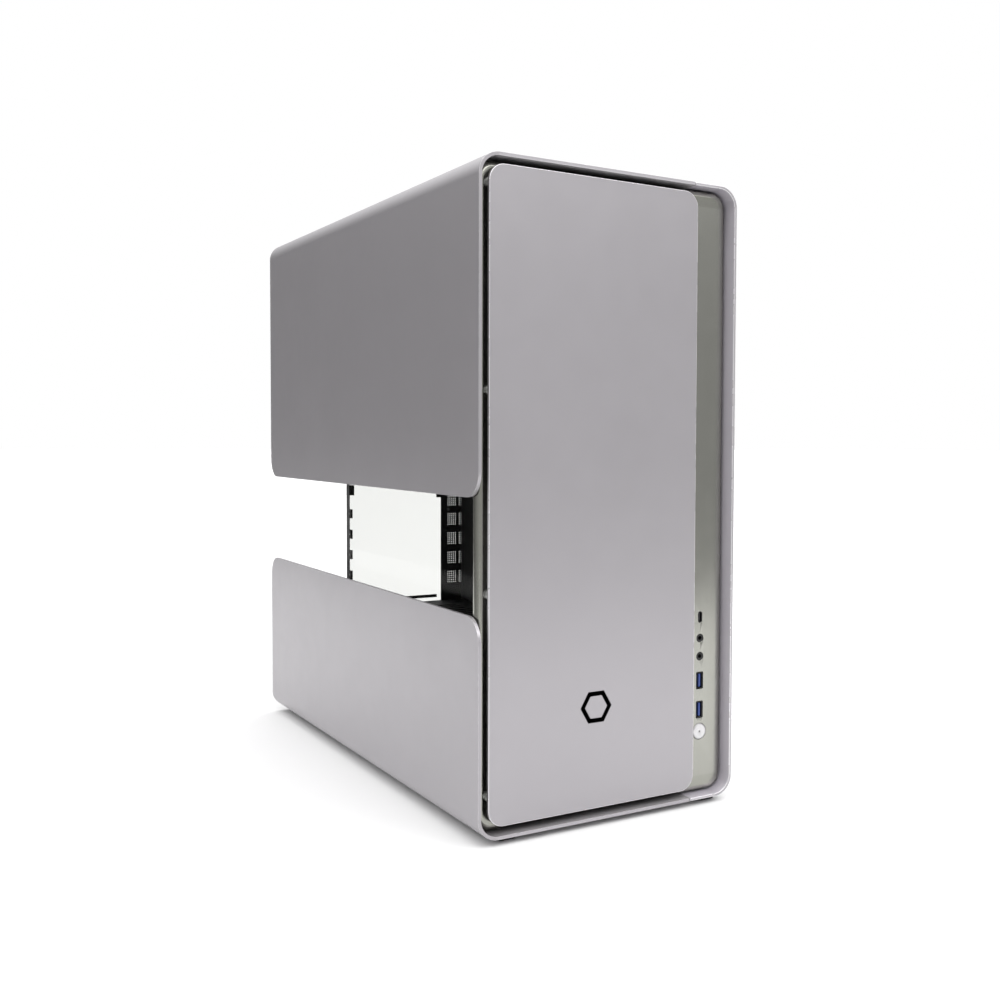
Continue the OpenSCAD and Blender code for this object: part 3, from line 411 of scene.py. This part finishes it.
def right_panel_stations():
    low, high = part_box("shell_right")
    stations = [(Vector((low.x, high.z)), Vector((0, 1)), 0)]
    for z, start in ((high.z - CORNER_R, 90), (low.z + CORNER_R, 0)):
        corner = arc((high.x - CORNER_R, z), CORNER_R, start, start - 90, ARC_STEPS)
        stations += [(p, n, 0) for p, n in corner]
    stations.append((Vector((low.x, low.z)), Vector((0, -1)), 0))
    return stations


def underside_grille():
    """Cutter: an upright prism through the sheet for each of the lower panel's air slots."""
    fan_low, fan_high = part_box("psu_fan_frame")
    y = (fan_low.y + fan_high.y) / 2
    bm = bmesh.new()
    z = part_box("shell_lower_left")[0].z
    for k in range(AIR_SLOTS):
        x = cad_low.x + UNDER_AIR_SLOT_X + AIR_SLOT_PITCH * k
        loop = rounded_loop((x, y), AIR_SLOT_SIZE, AIR_SLOT_R, SMALL_ARC_STEPS)
        rows = [[bm.verts.new((p.x, p.y, h)) for p in loop] for h in (z - SHEET, z + 2 * SHEET)]
        bridge(bm, *rows)
        for row in rows:
            bm.faces.new(row)
    bmesh.ops.recalc_face_normals(bm, faces=bm.faces)
    mesh = bpy.data.meshes.new("cutter")
    bm.to_mesh(mesh)
    bm.free()
    obj = bpy.data.objects.new("cutter", mesh)
    bpy.context.scene.collection.objects.link(obj)
    return obj


def make_sleeve():
    low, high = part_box("shell_right")
    upper = piece("upper_left_panel", bent_sheet(left_panel_stations("shell_upper_left", True), low.y, high.y),
                  "shell_upper_left")
    lower = piece("lower_left_panel", bent_sheet(left_panel_stations("shell_lower_left", False), low.y, high.y),
                  "shell_lower_left")
    right = piece("right_panel", bent_sheet(right_panel_stations(), low.y, high.y), "shell_right")
    cut(lower, underside_grille())
    # The right panel's inward faces take the lighter copy of the anodised finish, which is painted light
    right.data.materials.append(PAINTED_LIGHT_INNER_ANODISED)
    hollow = Vector(((low.x + high.x) / 2, 0, (low.z + high.z) / 2))
    for face in right.data.polygons:
        inward = hollow - face.center
        if face.normal.x * inward.x + face.normal.z * inward.z > 0 and abs(face.normal.y) < 0.5:
            face.material_index = 1
    for panel in (upper, lower, right):
        soften_edges(panel, EDGE, edge_finish=CUT_EDGE)


def make_front_plate():
    low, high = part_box("front_plate")
    size = (high.x - low.x, high.z - low.z)
    centre = ((low.x + high.x) / 2, (low.z + high.z) / 2)
    loop = rounded_loop(centre, size, PLATE_CORNER_R, ARC_STEPS)
    bm = bmesh.new()
    a, b = ring(bm, loop, low.y), ring(bm, loop, high.y)
    bridge(bm, a, b)
    bm.faces.new(a)
    bm.faces.new(b)
    plate = piece("front_plate_panel", bm, "front_plate")
    soften_edges(plate, PLATE_EDGE, edge_finish=CUT_EDGE)
    return plate


# ---------------------------------------------------------------- the bezel

def bezel_holes():
    """Openings in the bezel's flat face: (centre, size, corner radius)."""
    holes = []
    button = middle("power_button")
    holes.append(((button.x, button.z), *BUTTON_HOLE))
    for node, hole, half in (("audio_jacks", JACK_HOLE, JACK_HALF), ("usb_a_shells", USB_A_HOLE, USB_A_HALF)):
        low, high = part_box(node)
        for z in (low.z + half, high.z - half):
            holes.append((((low.x + high.x) / 2, z), *hole))
    usb_c = middle("usb_c_port")
    holes.append(((usb_c.x, usb_c.z), *USB_C_HOLE))
    for fan in (middle(f"front_fan_frame_{k}") for k in (1, 2, 3)):
        for i in range(AIR_SLOTS):
            x = cad_low.x + FRONT_AIR_SLOT_X + AIR_SLOT_PITCH * i
            holes.append(((x, fan.z), AIR_SLOT_SIZE, AIR_SLOT_R))
    return holes


def flat_with_holes(bm, outer, holes):
    """Fills the space between an outer ring and the rings of its holes."""
    rings = [outer] + holes
    verts = [v for r in rings for v in r]
    for tri in tessellate_polygon([[v.co.copy() for v in r] for r in rings]):
        bm.faces.new([verts[i] for i in tri])


def make_bezel():
    low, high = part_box("front_bezel")
    centre = ((low.x + high.x) / 2, (low.z + high.z) / 2)
    size = Vector((high.x - low.x, high.z - low.z))
    corner = CORNER_R - SHEET - BEZEL_GAP
    bm = bmesh.new()

    def outline(inset, y):
        return ring(bm, rounded_loop(centre, size - Vector((2, 2)) * inset, corner - inset, ARC_STEPS), y)

    rows = [outline(0, high.y)]
    for i in range(ARC_STEPS + 1):
        a = math.radians(90 * i / ARC_STEPS)
        rows.append(outline(BEZEL_EDGE_R * (1 - math.cos(a)), low.y + BEZEL_EDGE_R * (1 - math.sin(a))))
    for a, b in zip(rows, rows[1:]):
        bridge(bm, a, b)
    pocket = [outline(BEZEL_RIM, y) for y in (high.y, low.y + BEZEL_WALL)]
    bridge(bm, rows[0], pocket[0])
    bridge(bm, *pocket)
    fronts, backs = [], []
    for where, hole, r in bezel_holes():
        wide = (hole[0] + 2 * CHAMFER, hole[1] + 2 * CHAMFER)
        front = ring(bm, rounded_loop(where, wide, r + CHAMFER, SMALL_ARC_STEPS), low.y)
        mouth = ring(bm, rounded_loop(where, hole, r, SMALL_ARC_STEPS), low.y + CHAMFER)
        back = ring(bm, rounded_loop(where, hole, r, SMALL_ARC_STEPS), low.y + BEZEL_WALL)
        bridge(bm, front, mouth)
        bridge(bm, mouth, back)
        fronts.append(front)
        backs.append(back)
    flat_with_holes(bm, rows[-1], fronts)
    flat_with_holes(bm, pocket[1], backs)
    flatten_normals(piece("front_bezel_frame", bm, "front_bezel", 50))


# ---------------------------------------------------------------- small front pieces

def turned(bm, centre, profile, steps=64):
    """Turned solid about an axis along +Y through centre; profile is (radius, y) from front to back."""
    rows = []
    angles = [2 * math.pi * k / steps for k in range(steps)]
    for r, y in profile:
        circle = [(r * math.cos(a), r * math.sin(a)) for a in angles]
        rows.append([bm.verts.new((centre.x + x, y, centre.z + z)) for x, z in circle])
    for a, b in zip(rows, rows[1:]):
        bridge(bm, a, b)
    bm.faces.new(rows[0])
    bm.faces.new(rows[-1])


def make_button():
    """Round cap with a ring groove and a pit in its face, on a flange and a stem."""
    face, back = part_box("power_button")[0].y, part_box("power_button")[1].y
    groove_in = BUTTON_GROOVE_R - BUTTON_GROOVE_W
    groove_floor = face + BUTTON_GROOVE_DEPTH
    profile = [(BUTTON_PIT_R, face + BUTTON_PIT_DEPTH), (BUTTON_PIT_R, face + 0.05 * MM),
               (BUTTON_PIT_R + 0.1 * MM, face), (groove_in, face), (groove_in, groove_floor),
               (BUTTON_GROOVE_R, groove_floor), (BUTTON_GROOVE_R, face + 0.15 * MM)]
    for i in range(SMALL_ARC_STEPS + 1):
        a = math.radians(90 * i / SMALL_ARC_STEPS)
        profile.append((BUTTON_R - BUTTON_EDGE_R * (1 - math.sin(a)), face + BUTTON_EDGE_R * (1 - math.cos(a))))
    flange = face + BUTTON_FLANGE_SETBACK
    flange_back = flange + BUTTON_FLANGE_T
    profile += [(BUTTON_R, flange), (BUTTON_FLANGE_R - 0.2 * MM, flange), (BUTTON_FLANGE_R, flange + 0.2 * MM),
                (BUTTON_FLANGE_R, flange_back), (BUTTON_STEM_R, flange_back), (BUTTON_STEM_R, back)]
    bm = bmesh.new()
    turned(bm, middle("power_button"), profile)
    piece("power_button_cap", bm, "power_button")


def make_feet():
    """Four pads with rounded lower edges; their tops reach just inside the sheet."""
    low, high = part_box("feet")
    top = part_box("shell_lower_left")[0].z + FOOT_IN_SHEET
    bm = bmesh.new()

    def outline(x, y, inset, z):
        size = (FOOT_W - 2 * inset, FOOT_L - 2 * inset)
        loop = rounded_loop((x, y), size, FOOT_CORNER_R - inset, SMALL_ARC_STEPS)
        return [bm.verts.new((p.x, p.y, z)) for p in loop]

    for x in (low.x + FOOT_W / 2, high.x - FOOT_W / 2):
        for y in (low.y + FOOT_L / 2, high.y - FOOT_L / 2):
            rows = []
            for i in range(SMALL_ARC_STEPS + 1):
                a = math.radians(90 * i / SMALL_ARC_STEPS)
                inset, rise = FOOT_EDGE_R * (1 - math.sin(a)), FOOT_EDGE_R * (1 - math.cos(a))
                rows.append(outline(x, y, inset, low.z + rise))
            rows.append(outline(x, y, 0, top))
            for a, b in zip(rows, rows[1:]):
                bridge(bm, a, b)
            bm.faces.new(rows[0])
            bm.faces.new(rows[-1])
    piece("rubber_feet", bm, "feet")


# ---------------------------------------------------------------- inner pieces

def softened(node, width, segments=2):
    """Copy of a CAD node with rounded edges."""
    source = frame["nodes"][node]
    bm = bmesh.new()
    bm.from_mesh(source.data)
    bm.transform(source.matrix_world)
    bmesh.ops.remove_doubles(bm, verts=bm.verts, dist=1e-6)
    bmesh.ops.dissolve_limit(bm, angle_limit=math.radians(1), verts=bm.verts, edges=bm.edges)
    obj = piece(node + "_rounded", bm, node)
    soften_edges(obj, width, segments)
    return obj


# Width in millimetres of the rounded edge of each piece whose shape is otherwise the CAD model's
ROUNDED = {
    0.5: ("rear_fan_frame", "psu_fan_frame", "front_fan_frame_1", "front_fan_frame_2", "front_fan_frame_3",
          "solid_state_drives"),
    0.3: ("side_spacers", "glass_channels", "side_glass", "front_filter", "bottom_filter", "psu_inlet",
          "psu_switch", "psu_board", "button_switch", "case_screws"),
    0.2: ("card_retainer", "board_tray", "shelf", "floor_panel", "roof_panel", "right_cover",
          "lower_skirt", "front_frame", "fixed_rails", "slide_rails", "slide_tracks", "filter_runners",
          "drive_bracket", "plate_standoffs", "rear_io_ports", "memory_modules", "cpu_cooler",
          "board_standoffs"),
    0.12: ("front_emblem", "io_board", "main_board", "usb_c_port", "audio_jacks", "usb_a_shells",
           "usb_a_tongues"),
}


# ---------------------------------------------------------------- fan rotors

# Node, number of blades, axis
ROTORS = (
    ("front_fan_rotor_1", 7, "y"), ("front_fan_rotor_2", 7, "y"), ("front_fan_rotor_3", 7, "y"),
    ("rear_fan_rotor", 7, "y"), ("psu_fan_rotor", 9, "z"), ("cpu_fan_rotor", 7, "x"),
)
HUB_SHARE = 0.34                # the hub's radius as a part of the rotor's
HUB_RIM = 0.14                  # the rounded rim's radius as a part of the hub's
HUB_WALL = 1.5 * MM
SHAFT_R = 2 * MM
SHAFT_PAST_HUB = 3 * MM
SHAFT_CHAMFER = 0.3 * MM
BLADE_SWEEP = 30                # degrees that a blade leans from root to tip
BLADE_STEPS = 10
BLADE_POINTS = 7


def make_rotor(node, blades, axis):
    """Cup-shaped hub with a rounded rim, its shaft, and swept blades that flatten from root to tip."""
    low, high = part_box(node)
    joint = next(j for j in frame["record"]["behaviour"]["joints"] if j["child"] == BODY_OF[node])
    centre = Vector(joint["pos_m"])
    k = "xyz".index(axis)
    across = ((k + 1) % 3, (k + 2) % 3)
    height = high[k] - low[k] - SHAFT_PAST_HUB
    corners = [v.co for v in frame["nodes"][node].data.vertices]
    r_tip = max(math.hypot(*(co[i] - centre[i] for i in across)) for co in corners)
    r_hub = r_tip * HUB_SHARE
    bm = bmesh.new()

    def vert(r, a, along):
        co = Vector((0, 0, 0))
        co[across[0]] = centre[across[0]] + r * math.cos(a)
        co[across[1]] = centre[across[1]] + r * math.sin(a)
        co[k] = low[k] + along
        return bm.verts.new(co)

    def turn(profile, steps=48):
        rows = [[vert(r, 2 * math.pi * j / steps, along) for j in range(steps)] for r, along in profile]
        for a, b in zip(rows, rows[1:]):
            bridge(bm, a, b)
        bm.faces.new(rows[0])
        bm.faces.new(rows[-1])

    rim = HUB_RIM * r_hub
    profile = [(0.5 * r_hub, 0.4 * MM), (0.52 * r_hub, 0)]
    for i in range(SMALL_ARC_STEPS + 1):
        t = math.radians(90 * i / SMALL_ARC_STEPS)
        profile.append((r_hub - rim * (1 - math.sin(t)), rim * (1 - math.cos(t))))
    turn(profile + [(r_hub, height), (r_hub - HUB_WALL, height), (r_hub - HUB_WALL, height - 2 * HUB_WALL)])
    length = high[k] - low[k]
    turn([(SHAFT_R, height - 4 * MM), (SHAFT_R, length - SHAFT_CHAMFER), (SHAFT_R - SHAFT_CHAMFER, length)])
    for blade in range(blades):
        sections = []
        for i in range(BLADE_STEPS + 1):
            t = i / BLADE_STEPS
            r = r_hub - 0.5 * MM + t * (r_tip - 0.05 * MM - r_hub + 0.5 * MM)
            lean = 2 * math.pi * blade / blades + math.radians(BLADE_SWEEP) * t * t
            chord = 0.9 * (2 * math.pi / blades) * (1 - 0.2 * t * t)
            tall = height * (0.9 - 0.25 * t) - 1.6 * MM
            section = []
            for side in (1, -1):
                for j in range(BLADE_POINTS):
                    u = side * (j / (BLADE_POINTS - 1) - 0.5)
                    arch = 0.1 * tall * (1 - 4 * u * u)
                    skin = side * 0.5 * MM * (1 - 1.4 * abs(u))
                    along = height / 2 + u * tall * 0.9 + arch - 0.05 * tall + skin
                    section.append(vert(r, lean + u * chord, along))
            sections.append(section)
        for a, b in zip(sections, sections[1:]):
            bridge(bm, a, b)
        bm.faces.new(sections[0])
        bm.faces.new(sections[-1])
    piece(node + "_blades", bm, node, 35)


def smooth_copy(node):
    """Copy of a CAD node, smooth all round."""
    source = frame["nodes"][node]
    bm = bmesh.new()
    bm.from_mesh(source.data)
    bm.transform(source.matrix_world)
    return piece(node + "_smooth", bm, node, 75)


def make_spring():
    """The coil behind the button, smooth all round, with a mesh of its own."""
    coil = smooth_copy("button_spring")
    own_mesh(coil)


def paint_rest():
    """Gives each CAD node that still shows its finish."""
    for node, obj in frame["nodes"].items():
        for slot in obj.material_slots:
            slot.material = finish_of(node)


# ---------------------------------------------------------------- studio

OVERHEAD = 2.0                  # radiance of the softbox overhead
HORIZON = (0.085, 0.60)         # radiance at eye level, opposite the bright side and towards it
BRIGHT_SIDE = (-0.25, -0.97, 0)
FLOOR_REACH = 24                # side of the lit floor, which is square
FLOOR_AHEAD = 1.2               # how far it reaches in front, past which the studio is dim
FLOOR_LEFT = 0.8                # how far it reaches to the left
FLOOR_TONE = 0.75

CAMERA_AT = (-0.49372, -1.04604, 0.30791)
CAMERA_TURN = (33.38, -2.42, 0.41)     # yaw from +Y towards +X, pitch and roll, in degrees
CAMERA_LENS = 42.301            # mm, on a sensor 36 mm wide
CAMERA_SHIFT = (-0.1389, -0.0133)


def make_camera():
    """Camera 0.5 m to the left of the tower's middle and 1 m ahead of it, just above half its height."""
    yaw, pitch, roll = (math.radians(a) for a in CAMERA_TURN)
    ahead = Vector((math.sin(yaw) * math.cos(pitch), math.cos(yaw) * math.cos(pitch), math.sin(pitch)))
    right = Vector((math.cos(yaw), -math.sin(yaw), 0))
    up = right.cross(ahead)
    rolled_right = right * math.cos(roll) + up * math.sin(roll)
    rolled_up = up * math.cos(roll) - right * math.sin(roll)
    data = bpy.data.cameras.new("camera")
    data.sensor_width = 36
    data.lens = CAMERA_LENS
    data.shift_x, data.shift_y = CAMERA_SHIFT
    data.clip_start = 0.05
    data.clip_end = 100
    cam = bpy.data.objects.new("camera", data)
    rotation = Matrix((rolled_right, rolled_up, -ahead)).transposed().to_4x4()
    cam.matrix_world = Matrix.Translation(CAMERA_AT) @ rotation
    bpy.context.scene.collection.objects.link(cam)
    bpy.context.scene.camera = cam


def make_floor():
    """Pale floor whose front and left edges are near, so that the metal reflects a dim studio past them."""
    mat, nodes, links, bsdf = shader("pale_floor")
    bsdf.inputs["Base Color"].default_value = (FLOOR_TONE, FLOOR_TONE, FLOOR_TONE, 1)
    bsdf.inputs["Roughness"].default_value = 0.9
    bsdf.inputs["Specular IOR Level"].default_value = 0.1
    bm = bmesh.new()
    half = FLOOR_REACH / 2
    bmesh.ops.create_grid(bm, x_segments=1, y_segments=1, size=half)
    bmesh.ops.translate(bm, verts=bm.verts, vec=(half - FLOOR_LEFT, half - FLOOR_AHEAD, 0))
    mesh = bpy.data.meshes.new("floor")
    bm.to_mesh(mesh)
    bm.free()
    mesh.materials.append(mat)
    floor = bpy.data.objects.new("floor", mesh)
    bpy.context.scene.collection.objects.link(floor)


def make_world():
    """White to the camera. As a light: bright overhead, and dim at eye level, most of all behind the tower."""
    world = bpy.data.worlds.new("studio")
    bpy.context.scene.world = world
    world.use_nodes = True
    nodes, links = world.node_tree.nodes, world.node_tree.links
    place = nodes.new("ShaderNodeTexCoord")
    split = nodes.new("ShaderNodeSeparateXYZ")
    links.new(place.outputs["Generated"], split.inputs["Vector"])
    overhead = nodes.new("ShaderNodeMapRange")
    overhead.interpolation_type = "SMOOTHSTEP"
    overhead.inputs["From Min"].default_value = 0.1
    overhead.inputs["From Max"].default_value = 0.85
    overhead.inputs["To Min"].default_value = 0.0
    overhead.inputs["To Max"].default_value = OVERHEAD
    links.new(split.outputs["Z"], overhead.inputs["Value"])
    towards = nodes.new("ShaderNodeVectorMath")
    towards.operation = "DOT_PRODUCT"
    towards.inputs[1].default_value = BRIGHT_SIDE
    links.new(place.outputs["Generated"], towards.inputs[0])
    sideways = nodes.new("ShaderNodeMapRange")
    sideways.inputs["From Min"].default_value = -1
    sideways.inputs["From Max"].default_value = 1
    sideways.inputs["To Min"].default_value = HORIZON[0]
    sideways.inputs["To Max"].default_value = HORIZON[1]
    links.new(towards.outputs["Value"], sideways.inputs["Value"])
    total = nodes.new("ShaderNodeMath")
    links.new(overhead.outputs["Result"], total.inputs[0])
    links.new(sideways.outputs["Result"], total.inputs[1])
    light = nodes["Background"]
    links.new(total.outputs["Value"], light.inputs["Strength"])
    light.inputs["Color"].default_value = (1, 1, 1, 1)
    white = nodes.new("ShaderNodeBackground")
    white.inputs["Color"].default_value = (1, 1, 1, 1)
    path = nodes.new("ShaderNodeLightPath")
    mix = nodes.new("ShaderNodeMixShader")
    links.new(path.outputs["Is Camera Ray"], mix.inputs["Fac"])
    links.new(light.outputs["Background"], mix.inputs[1])
    links.new(white.outputs["Background"], mix.inputs[2])
    links.new(mix.outputs["Shader"], nodes["World Output"].inputs["Surface"])


def soft_light(name, where, aim, size, power):
    data = bpy.data.lights.new(name, "AREA")
    data.shape = "RECTANGLE"
    data.size, data.size_y = size
    data.energy = power
    lamp = bpy.data.objects.new(name, data)
    lamp.location = where
    lamp.rotation_mode = "QUATERNION"
    lamp.rotation_quaternion = (Vector(aim) - Vector(where)).to_track_quat("-Z", "Y")
    lamp.visible_camera = False
    bpy.context.scene.collection.objects.link(lamp)


make_camera()
make_world()
make_floor()
soft_light("overhead", (0.2, -0.4, 2.4), (0, 0, 0.2), (2.5, 2.5), 4)
soft_light("front", (0.5, -1.5, 1.3), (0.2, -0.5, 0), (1.2, 0.6), 5.5)
bpy.context.scene.view_settings.view_transform = "Standard"

make_sleeve()
make_front_plate()
make_bezel()
make_button()
make_feet()
for width, nodes_of_width in ROUNDED.items():
    for node in nodes_of_width:
        softened(node, width * MM)
for node, blades, axis in ROTORS:
    make_rotor(node, blades, axis)
for node in ("panel_cable", "board_power_cable"):
    smooth_copy(node)
make_spring()
paint_rest()
